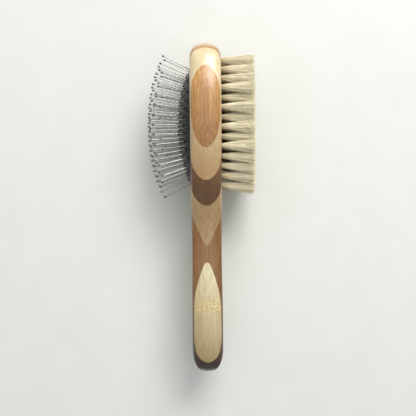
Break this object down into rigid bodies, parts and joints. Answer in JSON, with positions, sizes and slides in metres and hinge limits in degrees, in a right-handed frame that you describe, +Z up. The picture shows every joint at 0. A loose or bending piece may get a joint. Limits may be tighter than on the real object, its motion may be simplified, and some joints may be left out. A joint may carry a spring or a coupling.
{
  "type": "double-sided grooming brush",
  "caption": "Hand-held pet grooming brush with a laminated bamboo body, a steel pin pad on one face and bristle tufts on the other.",
  "frame": {"origin": "centre of the brush's bounding box at its lowest height, where the lower side edge of the head stands", "axes": "+Y along the brush from the butt of the handle to the tip of the head, +X out of the bristle face, -X out of the pin face, +Z up across the width"},
  "size_m": [0.0702, 0.216, 0.061],
  "materials": {
    "bamboo_light": "satin varnished natural bamboo",
    "bamboo_dark": "satin varnished carbonised bamboo",
    "pin_steel": "drawn wire",
    "bead_steel": "polished bead",
    "black_rubber": "satin rubber",
    "bristle": "cream fibre",
    "anchor_wire": "flat wire"
  },
  "bodies": {
    "brush_body": {"bamboo_dark_1_middle": "bamboo_dark", "bamboo_light_2_upper": "bamboo_light", "bamboo_light_2_lower": "bamboo_light", "bamboo_dark_3_upper": "bamboo_dark", "bamboo_dark_3_lower": "bamboo_dark", "bamboo_light_4_head_upper": "bamboo_light", "bamboo_light_4_head_lower": "bamboo_light", "bamboo_light_4_handle_upper": "bamboo_light", "bamboo_light_4_handle_lower": "bamboo_light", "bamboo_dark_5_upper": "bamboo_dark", "bamboo_dark_5_lower": "bamboo_dark", "bamboo_light_6_upper": "bamboo_light", "bamboo_light_6_lower": "bamboo_light", "bamboo_dark_7_upper": "bamboo_dark", "bamboo_dark_7_lower": "bamboo_dark", "tuft_row_01": "bristle", "tuft_row_02": "bristle", "tuft_row_03": "bristle", "tuft_row_04": "bristle", "tuft_row_05": "bristle", "tuft_row_06": "bristle", "tuft_row_07": "bristle", "tuft_row_08": "bristle", "tuft_row_09": "bristle", "tuft_row_10": "bristle", "tuft_row_11": "bristle", "tuft_row_12": "bristle", "tuft_row_13": "bristle", "tuft_row_14": "bristle", "tuft_anchors": "anchor_wire"},
    "pin_field": {"pin_pad": "black_rubber", "pin_column_1": "pin_steel", "pin_column_2": "pin_steel", "pin_column_3": "pin_steel", "pin_column_4": "pin_steel", "pin_column_5": "pin_steel", "pin_column_6": "pin_steel", "pin_column_7": "pin_steel", "pin_column_8": "pin_steel", "pin_column_9": "pin_steel", "pin_beads": "bead_steel"}
  },
  "joints": [
    {"name": "pin_pad_press", "type": "slide", "parent": "brush_body", "child": "pin_field", "axis": [1, 0, 0], "range_m": [0, 0.0035], "stiffness_N_per_m": 3000, "deforming": ["pin_pad"]}
  ]
}
